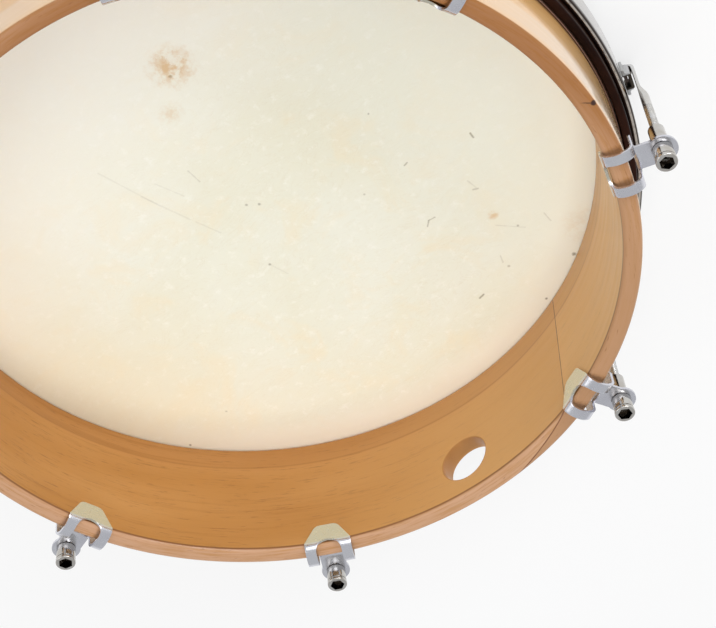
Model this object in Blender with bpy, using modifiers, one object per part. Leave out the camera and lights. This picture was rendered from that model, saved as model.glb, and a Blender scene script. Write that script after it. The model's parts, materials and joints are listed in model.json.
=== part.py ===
"""Hand drum: a bent wood shell, a skin head and a steel hoop drawn up by eight claws, hooks and nuts.

Metres, +Z up. The drum lies on its head: Z = 0 is the playing face, +Z points out of the open side,
and -Y points through the thumb hole. Each fitting is drawn once, with its radial direction along X,
and then placed round the shell.
"""

import math

import bmesh
import bpy

# Shell
SHELL_RADIUS = 0.200
SHELL_WALL = 0.0105
SHELL_DEPTH = 0.0853
BEARING_RADIUS = 0.003
BEARING_INNER_RADIUS = 0.0012
RIM_ROUNDING = 0.0022
THUMB_HOLE_RADIUS = 0.015
THUMB_HOLE_BELOW_RIM = 0.027
THUMB_HOLE_ANGLE = -90.0

# Skin and the flat hoop that it is bonded to
SKIN_THICKNESS = 0.0008
SKIN_TURN_UP = 0.0009
HEM_EDGE_ABOVE_FLESH_HOOP = 0.0005
FLESH_HOOP_THICKNESS = 0.005
FLESH_HOOP_HEIGHT = 0.0323

# Tension hoop: a flat steel band with a flange that bears on the flesh hoop
HOOP_PLATE = 0.0018
HOOP_HEIGHT = 0.0279
HOOP_LIFT = 0.002
HOOP_BEND_RADIUS = 0.004
HOOP_TO_FLESH_HOOP = 0.0022
FLANGE_TO_SKIN = 0.0005

# Loops on the hoop
LOOP_PLATE = 0.0018
LOOP_HEIGHT = 0.009
LOOP_CENTRE_UP_HOOP = 0.0084
LOOP_FOOT_SPREAD = 0.017
LOOP_BRIDGE_WIDTH = 0.0112

# Hooks
HOOK_PLATE = 0.002
HOOK_WIDTH = 0.006
HOOK_TIP_LENGTH = 0.006
HOOK_STRIP_LENGTH = 0.027
ROD_RADIUS = 0.0025
ROD_TAPER = 0.006
ROD_TAPER_TIP = 0.0008
ROD_OFFSET = 0.0012

# Claws over the open rim
CLAW_PLATE = 0.0015
CLAW_WIDTH = 0.027
CLAW_TIP_WIDTH = 0.0126
CLAW_LEG = 0.0132
CLAW_BELOW_EAR = 0.0021
CLAW_SHOULDER = 0.0005
CLAW_ARCH_HEIGHT = 0.0057
CLAW_OUTER_OFFSET = 0.0034
WINDOW_WIDTH = 0.0148
WINDOW_END = 0.0016
WINDOW_ROUNDING = 0.005
EAR_BELOW_RIM = 0.0052
EAR_WIDTH = 0.0144
EAR_FLARE = 0.001

# Nuts
NUT_HEAD_RADIUS = 0.0055
NUT_COLLAR_RADIUS = 0.0057
NUT_GROOVE_RADIUS = 0.005
NUT_HEAD_LENGTH = 0.0114
NUT_COLLAR_LENGTH = 0.0022
NUT_GROOVE_LENGTH = 0.0008
NUT_CHAMFER = 0.0008
NUT_SLEEVE_RADIUS = 0.0044
NUT_SLEEVE_LENGTH = 0.0168
NUT_SLEEVE_CHAMFER = 0.0012
SOCKET_ACROSS_FLATS = 0.0072
SOCKET_DEPTH = 0.0055
ROD_END_IN_NUT = 0.0035

# Places of the fittings, in degrees round Z
SEEN_ANGLES = (-159.61, -117.15, -62.29, -17.02)
FITTINGS = 8

# Fits
GAP = 0.0003
FIT = 0.0004
RING_STEPS = 96
SMALL_STEPS = 16
ROD_SIDES = 12
ROD_INSET = 0.0001
ARC_STEPS = 3

# Places worked out from the sizes above
SHELL_BOTTOM = SKIN_THICKNESS + GAP
RIM_Z = SHELL_BOTTOM + SHELL_DEPTH
WALL_INNER = SHELL_RADIUS - SHELL_WALL
SKIN_INNER = SHELL_RADIUS + GAP
SKIN_OUTER = SKIN_INNER + SKIN_THICKNESS
SKIN_TOP = SHELL_BOTTOM + BEARING_RADIUS + SKIN_TURN_UP
FLESH_INNER = SKIN_OUTER + GAP
FLESH_OUTER = FLESH_INNER + FLESH_HOOP_THICKNESS
FLESH_BOTTOM = HOOP_LIFT + HOOP_PLATE + GAP
FLESH_TOP = FLESH_BOTTOM + FLESH_HOOP_HEIGHT
HOOP_INNER = FLESH_OUTER + HOOP_TO_FLESH_HOOP
HOOP_OUTER = HOOP_INNER + HOOP_PLATE
LOOP_SEAT = HOOP_OUTER + GAP
LOOP_BOTTOM = HOOP_LIFT + LOOP_CENTRE_UP_HOOP - LOOP_HEIGHT / 2
TIP_CENTRE = HOOP_OUTER + FIT + GAP + HOOK_PLATE / 2
BRIDGE_INNER = TIP_CENTRE + HOOK_PLATE / 2 + FIT
BRIDGE_OUTER = BRIDGE_INNER + LOOP_PLATE
STRIP_CENTRE = BRIDGE_OUTER + FIT + GAP + HOOK_PLATE / 2
ROD_CENTRE = STRIP_CENTRE + ROD_OFFSET
EAR_TOP = RIM_Z - EAR_BELOW_RIM
BORE_RADIUS = ROD_RADIUS + FIT
EAR_HOLE_RADIUS = NUT_SLEEVE_RADIUS + FIT
ROD_TOP = EAR_TOP + ROD_END_IN_NUT


def clear_scene():
    for item in list(bpy.data.objects):
        bpy.data.objects.remove(item, do_unlink=True)


def new_collection(name):
    group = bpy.data.collections.new(name)
    bpy.context.scene.collection.children.link(group)
    return group


def new_material(name, color, roughness, metallic=0.0):
    material = bpy.data.materials.new(name)
    material.use_nodes = True
    shader = material.node_tree.nodes["Principled BSDF"]
    shader.inputs["Base Color"].default_value = (*color, 1.0)
    shader.inputs["Roughness"].default_value = roughness
    shader.inputs["Metallic"].default_value = metallic
    material.diffuse_color = (*color, 1.0)
    return material


def add_object(name, mesh, group, material=None):
    item = bpy.data.objects.new(name, mesh)
    group.objects.link(item)
    if material is not None and not mesh.materials:
        mesh.materials.append(material)
    return item


def arc(centre, radius, start, end, steps=ARC_STEPS):
    """Points along an arc, from one angle in degrees to another."""
    angles = [math.radians(start + (end - start) * i / steps) for i in range(steps + 1)]
    return [(centre[0] + radius * math.cos(a), centre[1] + radius * math.sin(a)) for a in angles]


def turned(name, profile, group, material, steps=RING_STEPS):
    """A closed profile of (radius, height) points turned round Z. Its outer side runs downwards."""
    mesh = bpy.data.meshes.new(name)
    count = len(profile)
    edges = [(i, (i + 1) % count) for i in range(count)]
    mesh.from_pydata([(r, 0.0, z) for r, z in profile], edges, [])
    item = add_object(name, mesh, group, material)
    screw = item.modifiers.new("turn", "SCREW")
    screw.axis = "Z"
    screw.steps = steps
    screw.render_steps = steps
    screw.use_merge_vertices = True
    screw.merge_threshold = 1e-6
    screw.use_smooth_shade = True
    return item


def cut_outline(name, outlines, thickness, group):
    """A flat outline in local XY, given as one or more closed lists of points, made thick along Z."""
    curve = bpy.data.curves.new(name, "CURVE")
    curve.dimensions = "2D"
    curve.fill_mode = "BOTH"
    curve.extrude = thickness / 2
    for outline in outlines:
        spline = curve.splines.new("POLY")
        spline.points.add(len(outline) - 1)
        for point, (x, y) in zip(spline.points, outline):
            point.co = (x, y, 0.0, 1.0)
        spline.use_cyclic_u = True
    item = bpy.data.objects.new(name, curve)
    group.objects.link(item)
    return item


def place(item, location=(0.0, 0.0, 0.0), rotation=(0.0, 0.0, 0.0)):
    item.location = location
    item.rotation_euler = [math.radians(a) for a in rotation]
    bpy.context.view_layer.update()
    return item


def baked(item, name):
    """The evaluated mesh of an object in world space, welded. The object is removed."""
    bpy.context.view_layer.update()
    graph = bpy.context.evaluated_depsgraph_get()
    mesh = bpy.data.meshes.new_from_object(item.evaluated_get(graph))
    mesh.transform(item.matrix_world)
    mesh.name = name
    work = bmesh.new()
    work.from_mesh(mesh)
    bmesh.ops.remove_doubles(work, verts=work.verts, dist=1e-6)
    bmesh.ops.recalc_face_normals(work, faces=work.faces)
    work.to_mesh(mesh)
    work.free()
    bpy.data.objects.remove(item, do_unlink=True)
    return mesh


def solid(item, name, group):
    """The same piece as a mesh object, ready for a Boolean."""
    return add_object(name, baked(item, name), group)


def combine(target, tools, operation):
    for number, tool in enumerate(tools):
        step = target.modifiers.new(f"{operation.lower()} {number}", "BOOLEAN")
        step.operation = operation
        step.object = tool
        step.solver = "EXACT"


def finished(target, tools, name, material):
    """Bakes the Booleans of a master piece and removes the tools that made it."""
    mesh = baked(target, name)
    for tool in tools:
        bpy.data.objects.remove(tool, do_unlink=True)
    mesh.materials.clear()
    mesh.materials.append(material)
    mesh.shade_smooth()
    mesh.set_sharp_from_angle(angle=math.radians(35))
    return mesh


def cylinder(name, radius, depth, group, sides=SMALL_STEPS, top_radius=None):
    mesh = bpy.data.meshes.new(name)
    work = bmesh.new()
    upper = radius if top_radius is None else top_radius
    bmesh.ops.create_cone(
        work, cap_ends=True, segments=sides, radius1=radius, radius2=upper, depth=depth
    )
    work.to_mesh(mesh)
    work.free()
    return add_object(name, mesh, group)


def box(name, size, group):
    mesh = bpy.data.meshes.new(name)
    work = bmesh.new()
    bmesh.ops.create_cube(work, size=1.0)
    bmesh.ops.scale(work, vec=size, verts=work.verts)
    work.to_mesh(mesh)
    work.free()
    return add_object(name, mesh, group)


def strip_outline(path, thickness):
    """The outline of a strip of even thickness that follows a path of (x, y) points."""
    left, right = [], []
    for i, (x, y) in enumerate(path):
        before = path[max(i - 1, 0)]
        after = path[min(i + 1, len(path) - 1)]
        dx, dy = after[0] - before[0], after[1] - before[1]
        length = math.hypot(dx, dy)
        nx, ny = -dy / length * thickness / 2, dx / length * thickness / 2
        left.append((x + nx, y + ny))
        right.append((x - nx, y - ny))
    return left + right[::-1]


def shell(group, cutters, material):
    """The bent wood shell, with rounded edges and the thumb hole."""
    top, bottom = RIM_Z, SHELL_BOTTOM
    outer, inner = SHELL_RADIUS, WALL_INNER
    rim, bearing, lip = RIM_ROUNDING, BEARING_RADIUS, BEARING_INNER_RADIUS
    profile = arc((outer - rim, top - rim), rim, 90, 0)
    profile += arc((outer - bearing, bottom + bearing), bearing, 0, -90)
    profile += arc((inner + lip, bottom + lip), lip, -90, -180, 2)
    profile += arc((inner + rim, top - rim), rim, 180, 90)
    item = turned("shell", profile, group, material)
    drill = cylinder("thumb_hole_cutter", THUMB_HOLE_RADIUS, SHELL_WALL * 3, cutters, 32)
    angle = math.radians(THUMB_HOLE_ANGLE)
    middle = SHELL_RADIUS - SHELL_WALL / 2
    height = RIM_Z - THUMB_HOLE_BELOW_RIM
    place(drill, (middle * math.cos(angle), middle * math.sin(angle), height), (0, 90, THUMB_HOLE_ANGLE))
    drill.hide_render = True
    drill.display_type = "WIRE"
    combine(item, [drill], "DIFFERENCE")
    return item


def drumhead(group, material):
    """The playing face, as far as the flat of the shell's bearing edge."""
    edge = SHELL_RADIUS - BEARING_RADIUS - GAP
    profile = [(0.0, SKIN_THICKNESS), (edge, SKIN_THICKNESS), (edge, 0.0), (0.0, 0.0)]
    return turned("drumhead", profile, group, material)


def drumhead_turn(group, material):
    """The part of the skin that turns round the bearing edge, up to where the hem starts."""
    centre = (SHELL_RADIUS - BEARING_RADIUS, SHELL_BOTTOM + BEARING_RADIUS)
    inside = BEARING_RADIUS + GAP
    profile = [(SKIN_INNER, SKIN_TOP), (SKIN_OUTER, SKIN_TOP)]
    profile += arc(centre, inside + SKIN_THICKNESS, 0, -90)
    profile += arc(centre, inside, -90, 0)
    return turned("drumhead_turn", profile, group, material)


def drumhead_hem(group, material):
    """The skin's upturned hem, bonded to the flesh hoop and trimmed just past it."""
    low, high = SKIN_TOP + GAP, FLESH_TOP + HEM_EDGE_ABOVE_FLESH_HOOP
    profile = [(SKIN_OUTER, high), (SKIN_OUTER, low), (SKIN_INNER, low), (SKIN_INNER, high)]
    return turned("drumhead_hem", profile, group, material)


def flesh_hoop(group, material):
    low, high = FLESH_BOTTOM, FLESH_TOP
    profile = [(FLESH_OUTER, high), (FLESH_OUTER, low), (FLESH_INNER, low), (FLESH_INNER, high)]
    return turned("flesh_hoop", profile, group, material)


def tension_hoop(group, material):
    """The flat band with the flange that pulls the flesh hoop up."""
    low, high = HOOP_LIFT, HOOP_LIFT + HOOP_HEIGHT
    flange = SKIN_OUTER + FLANGE_TO_SKIN
    bend = HOOP_BEND_RADIUS
    profile = [(HOOP_OUTER, high)]
    profile += arc((HOOP_OUTER - bend, low + bend), bend, 0, -90)
    profile += [(flange, low), (flange, low + HOOP_PLATE)]
    profile += arc((HOOP_OUTER - bend, low + bend), bend - HOOP_PLATE, -90, 0)
    profile += [(HOOP_INNER, high)]
    return turned("tension_hoop", profile, group, material)


def loop_mesh(scratch, material):
    """A staple of flat plate that stands on the hoop, open towards it for the tip of the hook."""
    foot, bridge = LOOP_FOOT_SPREAD / 2, LOOP_BRIDGE_WIDTH / 2
    seat, back = LOOP_SEAT, LOOP_SEAT + LOOP_PLATE
    corner = LOOP_PLATE / 2
    half = [
        (seat, foot),
        (back, foot),
        (back, bridge),
        (BRIDGE_OUTER - corner, bridge),
        (BRIDGE_OUTER, bridge - corner),
    ]
    inner = [(BRIDGE_INNER, bridge - LOOP_PLATE), (seat, bridge - LOOP_PLATE)]
    outline = half + [(x, -y) for x, y in reversed(half)]
    outline += [(x, -y) for x, y in reversed(inner)] + inner
    item = cut_outline("loop", [outline], LOOP_HEIGHT, scratch)
    place(item, (0.0, 0.0, LOOP_BOTTOM + LOOP_HEIGHT / 2))
    return finished(solid(item, "loop_master", scratch), [], "hoop_loop", material)


def hook_mesh(scratch, material):
    """A flat strip bent under the loop, which runs on as a round threaded rod into the nut."""
    turn = (STRIP_CENTRE - TIP_CENTRE) / 2
    path = [(TIP_CENTRE, LOOP_BOTTOM + HOOK_TIP_LENGTH)]
    path += arc((TIP_CENTRE + turn, LOOP_BOTTOM), turn, 180, 360, 8)
    path += [(STRIP_CENTRE, LOOP_BOTTOM + HOOK_STRIP_LENGTH)]
    item = cut_outline("strip", [strip_outline(path, HOOK_PLATE)], HOOK_WIDTH, scratch)
    strip = solid(place(item, rotation=(90, 0, 0)), "hook_master", scratch)
    taper_low = LOOP_BOTTOM + HOOK_STRIP_LENGTH - ROD_TAPER
    rod_low = taper_low + ROD_TAPER / 2
    length = ROD_TOP - rod_low
    rod = cylinder("rod", ROD_RADIUS, length, scratch, ROD_SIDES)
    place(rod, (ROD_CENTRE, 0.0, rod_low + length / 2))
    taper = cylinder("taper", ROD_TAPER_TIP, ROD_TAPER, scratch, ROD_SIDES, ROD_RADIUS - ROD_INSET)
    place(taper, (ROD_CENTRE - ROD_OFFSET / 2, 0.0, taper_low))
    combine(strip, [rod, taper], "UNION")
    return finished(strip, [rod, taper], "tension_hook", material)


def claw_mesh(scratch, material):
    """A sheet bent over the rim: two legs, two straps round a window, and the ear that holds the nut."""
    leg_inner = WALL_INNER - GAP - CLAW_PLATE / 2 - sagitta(WALL_INNER, CLAW_WIDTH / 2)
    leg_outer = SHELL_RADIUS + CLAW_OUTER_OFFSET + CLAW_PLATE / 2
    half_span = (leg_outer - leg_inner) / 2
    middle = (leg_outer + leg_inner) / 2
    shoulder = RIM_Z - CLAW_SHOULDER
    rise = CLAW_ARCH_HEIGHT - CLAW_PLATE / 2
    arch = [(middle + half_span * x, shoulder + rise * y) for x, y in arc((0, 0), 1.0, 180, 0, 12)]
    foot_inner, foot_outer = RIM_Z - CLAW_LEG, EAR_TOP - CLAW_PLATE - CLAW_BELOW_EAR
    path = [(leg_inner, foot_inner)] + arch + [(leg_outer, foot_outer)]
    item = cut_outline("sheet", [strip_outline(path, CLAW_PLATE)], CLAW_WIDTH, scratch)
    sheet = solid(place(item, rotation=(90, 0, 0)), "claw_master", scratch)

    # Inner leg: two corners come off it, from full width at the shoulder to its tip
    wide, tip, high = CLAW_WIDTH / 2, CLAW_TIP_WIDTH / 2, RIM_Z + 2 * CLAW_ARCH_HEIGHT
    over_x, over_z = (wide - tip) / 8, (shoulder - GAP - foot_inner) / 8
    corner = [(tip - over_x, foot_inner - over_z), (wide + over_x, shoulder - GAP + over_z)]
    corner.append((wide + 2 * over_x, foot_inner - over_z))
    item = cut_outline("corners", [corner, [(-x, y) for x, y in corner]], 4 * CLAW_PLATE, scratch)
    trim = solid(place(item, (leg_inner, 0, 0), (90, 0, 90)), "trim", scratch)

    # Window: a round end on the inner leg, square down to the ear on the outer leg
    half = WINDOW_WIDTH / 2
    end = RIM_Z - WINDOW_END
    round_end = [(half * x, end + WINDOW_ROUNDING * (1 + y)) for x, y in arc((0, 0), 1.0, 180, 360, 10)]
    arch_window = [(half, high), (-half, high)] + round_end
    item = cut_outline("window", [arch_window], 2 * half_span, scratch)
    inner_window = solid(place(item, (middle - half_span, 0, 0), (90, 0, 90)), "window_inner", scratch)
    depth = high - EAR_TOP + CLAW_PLATE / 2
    outer_window = box("window_outer", (2 * half_span, WINDOW_WIDTH, depth), scratch)
    place(outer_window, (middle + half_span - GAP, 0, high - depth / 2))

    # Ear: a tongue with a round end, bent out level to take the nut
    ear = EAR_WIDTH / 2
    end_radius = ear + EAR_FLARE
    neck = 180 - math.degrees(math.asin(ear / end_radius))
    tongue = arc((ROD_CENTRE, 0), end_radius, neck, -neck, 14)
    tongue += [(leg_outer - CLAW_PLATE / 4, -ear), (leg_outer - CLAW_PLATE / 4, ear)]
    hole = arc((ROD_CENTRE, 0), EAR_HOLE_RADIUS, 0, 360 - 360 / SMALL_STEPS, SMALL_STEPS - 1)
    item = cut_outline("ear", [tongue, hole], CLAW_PLATE, scratch)
    tab = solid(place(item, (0, 0, EAR_TOP - CLAW_PLATE / 2)), "ear_tab", scratch)

    combine(sheet, [trim, inner_window, outer_window], "DIFFERENCE")
    combine(sheet, [tab], "UNION")
    return finished(sheet, [trim, inner_window, outer_window, tab], "rim_claw", material)


def sagitta(radius, half_width):
    """How far a flat plate of this half width stands off a hollow wall of this radius."""
    return radius - math.sqrt(radius**2 - half_width**2)


def nut_mesh(scratch, material):
    """A sleeve nut with a hexagon socket. Its origin is on its axis, at the top face of the ear."""
    top = NUT_HEAD_LENGTH + GAP
    collar = top - NUT_COLLAR_LENGTH
    groove = collar - NUT_GROOVE_LENGTH
    end = -CLAW_PLATE - NUT_SLEEVE_LENGTH
    profile = [
        (NUT_COLLAR_RADIUS - NUT_CHAMFER, top),
        (NUT_COLLAR_RADIUS, top - NUT_CHAMFER),
        (NUT_COLLAR_RADIUS, collar),
        (NUT_GROOVE_RADIUS, collar),
        (NUT_GROOVE_RADIUS, groove),
        (NUT_HEAD_RADIUS, groove),
        (NUT_HEAD_RADIUS, GAP),
        (NUT_SLEEVE_RADIUS, GAP),
        (NUT_SLEEVE_RADIUS, end + NUT_SLEEVE_CHAMFER),
        (NUT_SLEEVE_RADIUS - NUT_SLEEVE_CHAMFER / 2, end),
        (BORE_RADIUS, end),
        (BORE_RADIUS, top),
    ]
    body = solid(turned("nut", profile, scratch, material, SMALL_STEPS), "nut_master", scratch)
    corner = SOCKET_ACROSS_FLATS / 2 / math.cos(math.radians(30))
    socket = cylinder("socket", corner, SOCKET_DEPTH * 2, scratch, 6)
    place(socket, (0.0, 0.0, top))
    combine(body, [socket], "DIFFERENCE")
    return finished(body, [socket], "tension_nut", material)


def fitting_angles():
    """The four places read from the photograph, and the rest spread evenly over the side behind."""
    first, last = SEEN_ANGLES[-1], SEEN_ANGLES[0] + 360.0
    unseen = FITTINGS - len(SEEN_ANGLES)
    step = (last - first) / (unseen + 1)
    return list(SEEN_ANGLES) + [first + step * (i + 1) for i in range(unseen)]


def place_fittings(group, scratch, steel, plated, nickel):
    loop = loop_mesh(scratch, steel)
    hook = hook_mesh(scratch, plated)
    claw = claw_mesh(scratch, plated)
    nut = nut_mesh(scratch, nickel)
    for number, angle in enumerate(fitting_angles(), 1):
        place(add_object(f"hoop_loop_{number}", loop, group), rotation=(0, 0, angle))
        place(add_object(f"tension_hook_{number}", hook, group), rotation=(0, 0, angle))
        place(add_object(f"rim_claw_{number}", claw, group), rotation=(0, 0, angle))
        turn = math.radians(angle)
        axis = (ROD_CENTRE * math.cos(turn), ROD_CENTRE * math.sin(turn), EAR_TOP)
        place(add_object(f"tension_nut_{number}", nut, group), axis, (0, 0, angle))


def build():
    clear_scene()
    group = new_collection("hand_drum")
    cutters = new_collection("cutters")
    wood = new_material("shell_wood", (0.58, 0.30, 0.11), 0.4)
    skin = new_material("drum_skin", (0.84, 0.80, 0.66), 0.6)
    chrome = new_material("hoop_chrome", (0.75, 0.75, 0.76), 0.12, 1.0)
    stained = new_material("flesh_hoop_wood", (0.05, 0.022, 0.014), 0.35)
    plated = new_material("zinc_plate", (0.72, 0.74, 0.77), 0.3, 1.0)
    nickel = new_material("nut_nickel", (0.66, 0.64, 0.60), 0.2, 1.0)
    shell(group, cutters, wood)
    drumhead(group, skin)
    drumhead_turn(group, skin)
    drumhead_hem(group, skin)
    flesh_hoop(group, stained)
    tension_hoop(group, chrome)
    place_fittings(group, cutters, chrome, plated, nickel)
    bpy.context.view_layer.update()
    print("hand drum:", len(group.objects), "pieces")


build()
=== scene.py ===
import json
import math

import bmesh
import bpy
from mathutils import Euler, Matrix, Vector


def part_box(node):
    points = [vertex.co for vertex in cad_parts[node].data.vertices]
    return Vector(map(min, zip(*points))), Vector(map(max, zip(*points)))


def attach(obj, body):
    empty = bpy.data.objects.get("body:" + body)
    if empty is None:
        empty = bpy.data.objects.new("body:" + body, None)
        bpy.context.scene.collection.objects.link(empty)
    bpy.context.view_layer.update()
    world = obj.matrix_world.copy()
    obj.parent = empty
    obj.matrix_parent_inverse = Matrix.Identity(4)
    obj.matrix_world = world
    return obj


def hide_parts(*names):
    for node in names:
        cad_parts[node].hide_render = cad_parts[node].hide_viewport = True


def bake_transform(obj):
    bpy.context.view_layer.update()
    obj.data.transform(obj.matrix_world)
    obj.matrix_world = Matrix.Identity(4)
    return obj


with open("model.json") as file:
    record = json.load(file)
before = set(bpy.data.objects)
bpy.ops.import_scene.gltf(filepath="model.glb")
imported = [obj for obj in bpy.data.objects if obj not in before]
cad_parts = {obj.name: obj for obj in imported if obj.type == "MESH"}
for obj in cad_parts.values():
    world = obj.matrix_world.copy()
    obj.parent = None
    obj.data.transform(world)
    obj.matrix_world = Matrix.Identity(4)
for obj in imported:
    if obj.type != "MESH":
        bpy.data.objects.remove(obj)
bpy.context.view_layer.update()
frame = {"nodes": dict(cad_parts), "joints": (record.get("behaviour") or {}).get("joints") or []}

# sizes taken from the frame, in metres
shellLow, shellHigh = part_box("shell")
faceLow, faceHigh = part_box("drumhead")
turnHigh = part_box("drumhead_turn")[1]
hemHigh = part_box("drumhead_hem")[1]
fleshLow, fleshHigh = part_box("flesh_hoop")
bandLow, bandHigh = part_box("tension_hoop")
shellRadius = shellHigh.x
rimZ = shellHigh.z
shellBottom = shellLow.z
fittings = []
for joint in frame["joints"]:
    if joint["type"] == "hinge":
        x, y, z = joint["pos_m"]
        number = int(joint["child"].split("_")[-1])
        fittings.append({"number": number, "angle": math.atan2(y, x),
                         "rod": math.hypot(x, y), "earTop": z})
fittings.sort(key=lambda fitting: fitting["number"])
rodCentre = fittings[0]["rod"]
earTop = fittings[0]["earTop"]
print("frame loaded:", len(frame["nodes"]), "nodes,", len(fittings), "fittings")


# shapes
sameSpot = 1e-6    # metres, corners closer than this are one


def arcPoints(centre, radius, start, end, count):
    # points of an arc between two angles in degrees
    points = []
    for i in range(count + 1):
        a = math.radians(start + (end - start) * i / count)
        points.append((centre[0] + radius * math.cos(a), centre[1] + radius * math.sin(a)))
    return points


def smoothStep(share):
    return share * share * (3 - 2 * share)


def pathLengths(path):
    # the way along a path to each of its points
    lengths = [0.0]
    for a, b in zip(path, path[1:]):
        lengths.append(lengths[-1] + math.hypot(b[0] - a[0], b[1] - a[1]))
    return lengths


def gridRow(vert, rows):
    # the row of a unit grid that a corner is in
    return min(rows, max(0, round((vert.co.y + 0.5) * rows)))


def spaced(low, high, count):
    # even steps from low to high, without low itself
    return [low + (high - low) * i / count for i in range(1, count + 1)]


def spunPiece(name, profile, steps, material, sharpAngle=35):
    # a closed section in x and z, spun round the drum's axis
    form = bmesh.new()
    verts = [form.verts.new((r, 0, z)) for r, z in profile]
    edges = [form.edges.new((verts[i - 1], verts[i])) for i in range(len(verts))]
    bmesh.ops.spin(form, geom=verts + edges, cent=(0, 0, 0), axis=(0, 0, 1), angle=2 * math.pi,
                   steps=steps, use_merge=True)
    bmesh.ops.remove_doubles(form, verts=form.verts, dist=sameSpot)
    bmesh.ops.recalc_face_normals(form, faces=form.faces)
    return addPiece(name, toMesh(form, name, sharpAngle), material)


def toMesh(form, name, sharpAngle=35):
    mesh = bpy.data.meshes.new(name)
    form.to_mesh(mesh)
    form.free()
    mesh.shade_smooth()
    mesh.set_sharp_from_angle(angle=math.radians(sharpAngle))
    return mesh


def addPiece(name, mesh, material):
    piece = bpy.data.objects.new(name, mesh)
    bpy.context.scene.collection.objects.link(piece)
    mesh.materials.clear()
    mesh.materials.append(material)
    return piece


def applyModifiers(piece):
    bpy.context.view_layer.update()
    graph = bpy.context.evaluated_depsgraph_get()
    mesh = bpy.data.meshes.new_from_object(piece.evaluated_get(graph))
    piece.modifiers.clear()
    piece.data = mesh


def roundCutter(radius, depth, segments):
    form = bmesh.new()
    bmesh.ops.create_cone(form, cap_ends=True, segments=segments, radius1=radius, radius2=radius, depth=depth)
    return form


def cutAway(piece, form):
    cutter = addPiece("cutter", toMesh(form, "cutter"), piece.data.materials[0])
    step = piece.modifiers.new("cut", "BOOLEAN")
    step.operation = "DIFFERENCE"
    step.solver = "EXACT"
    step.object = cutter
    applyModifiers(piece)
    bpy.data.objects.remove(cutter, do_unlink=True)


def tidyMesh(piece, sharpAngle=35):
    form = bmesh.new()
    form.from_mesh(piece.data)
    bmesh.ops.remove_doubles(form, verts=form.verts, dist=sameSpot)
    form.to_mesh(piece.data)
    form.free()
    piece.data.shade_smooth()
    piece.data.set_sharp_from_angle(angle=math.radians(sharpAngle))


def softenEdges(piece, width, segments, angle):
    step = piece.modifiers.new("soft edges", "BEVEL")
    step.width = width
    step.segments = segments
    step.limit_method = "ANGLE"
    step.angle_limit = math.radians(angle)
    step.use_clamp_overlap = True
    applyModifiers(piece)
    tidyMesh(piece)


def thicken(piece, thickness):
    step = piece.modifiers.new("plate", "SOLIDIFY")
    step.thickness = thickness
    step.offset = 0.0
    step.use_even_offset = True
    applyModifiers(piece)


def markPaintedShade(piece, isWithin):
    # a value for each face that the metal reads: 1 inside the hollow, where painted shade darkens it
    hollow = piece.data.attributes.new("socket", "FLOAT", "FACE")
    for face in piece.data.polygons:
        hollow.data[face.index].value = float(isWithin(face.center))


def keepSheet(form):
    # joins corners that met, drops what has no area and points the faces one way
    bmesh.ops.remove_doubles(form, verts=form.verts, dist=2 * sameSpot)
    bmesh.ops.dissolve_degenerate(form, edges=form.edges, dist=sameSpot)
    bmesh.ops.recalc_face_normals(form, faces=form.faces)


def placeRound(master, name, angle, material, body, node):
    mesh = master.data.copy()
    mesh.transform(Matrix.Rotation(angle, 4, "Z"))
    piece = addPiece(name, mesh, material)
    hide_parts(node)
    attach(piece, body)


# material nodes: each helper adds nodes beside the sockets it gets, and returns the one to read

def newMaterial(name):
    material = bpy.data.materials.new(name)
    material.use_nodes = True
    return material, material.node_tree, material.node_tree.nodes["Principled BSDF"]


def newNode(kind, values):
    # in the tree of the first socket among the values
    tree = next(value.id_data for value in values if isinstance(value, bpy.types.NodeSocket))
    return tree.nodes.new(kind)


def fillSockets(sockets, values):
    for socket, value in zip(sockets, values):
        if isinstance(value, bpy.types.NodeSocket):
            socket.id_data.links.new(value, socket)
        elif isinstance(value, tuple) and socket.type == "RGBA":
            socket.default_value = (*value, 1.0)
        else:
            socket.default_value = value


def setInputs(node, values):
    fillSockets([node.inputs[name] for name in values], values.values())


def calc(operation, *values):
    node = newNode("ShaderNodeMath", values)
    node.operation = operation
    fillSockets(node.inputs, values)
    return node.outputs[0]


def times(first, second):
    return calc("MULTIPLY", first, second)


def plus(first, second):
    return calc("ADD", first, second)


def minus(first, second):
    return calc("SUBTRACT", first, second)


def vectorNode(operation, first, second, output="Vector"):
    node = newNode("ShaderNodeVectorMath", (first, second))
    node.operation = operation
    fillSockets(node.inputs, (first, second))
    return node.outputs[output]


def mix(factor, first, second):
    node = newNode("ShaderNodeMix", (factor, first, second))
    node.data_type = "RGBA"
    fillSockets((node.inputs[0], node.inputs[6], node.inputs[7]), (factor, first, second))
    return node.outputs[2]


def fade(value, low, high, toLow=0.0, toHigh=1.0):
    # a smooth step: toLow where the value is low, toHigh where it is high
    node = newNode("ShaderNodeMapRange", (value,))
    node.interpolation_type = "SMOOTHSTEP"
    fillSockets(node.inputs, (value, low, high, toLow, toHigh))
    return node.outputs[0]


def stretched(vector, scale):
    node = newNode("ShaderNodeMapping", (vector,))
    fillSockets((node.inputs["Vector"], node.inputs["Scale"]), (vector, scale))
    return node.outputs[0]


def noise(vector, scale, detail=3.0, roughness=0.5, distortion=0.0):
    # the scale is one number, or one for each axis
    if isinstance(scale, tuple):
        vector = stretched(vector, scale)
        scale = 1.0
    node = newNode("ShaderNodeTexNoise", (vector,))
    setInputs(node, {"Vector": vector, "Scale": scale, "Detail": detail, "Roughness": roughness,
                     "Distortion": distortion})
    return node.outputs["Fac"]


def splitVector(vector):
    node = newNode("ShaderNodeSeparateXYZ", (vector,))
    fillSockets(node.inputs, (vector,))
    return node.outputs


def objectPlace(tree):
    return tree.nodes.new("ShaderNodeTexCoord").outputs["Object"]


def fromAxis(x, y):
    # distance from the drum's axis
    return calc("SQRT", plus(times(x, x), times(y, y)))


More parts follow.
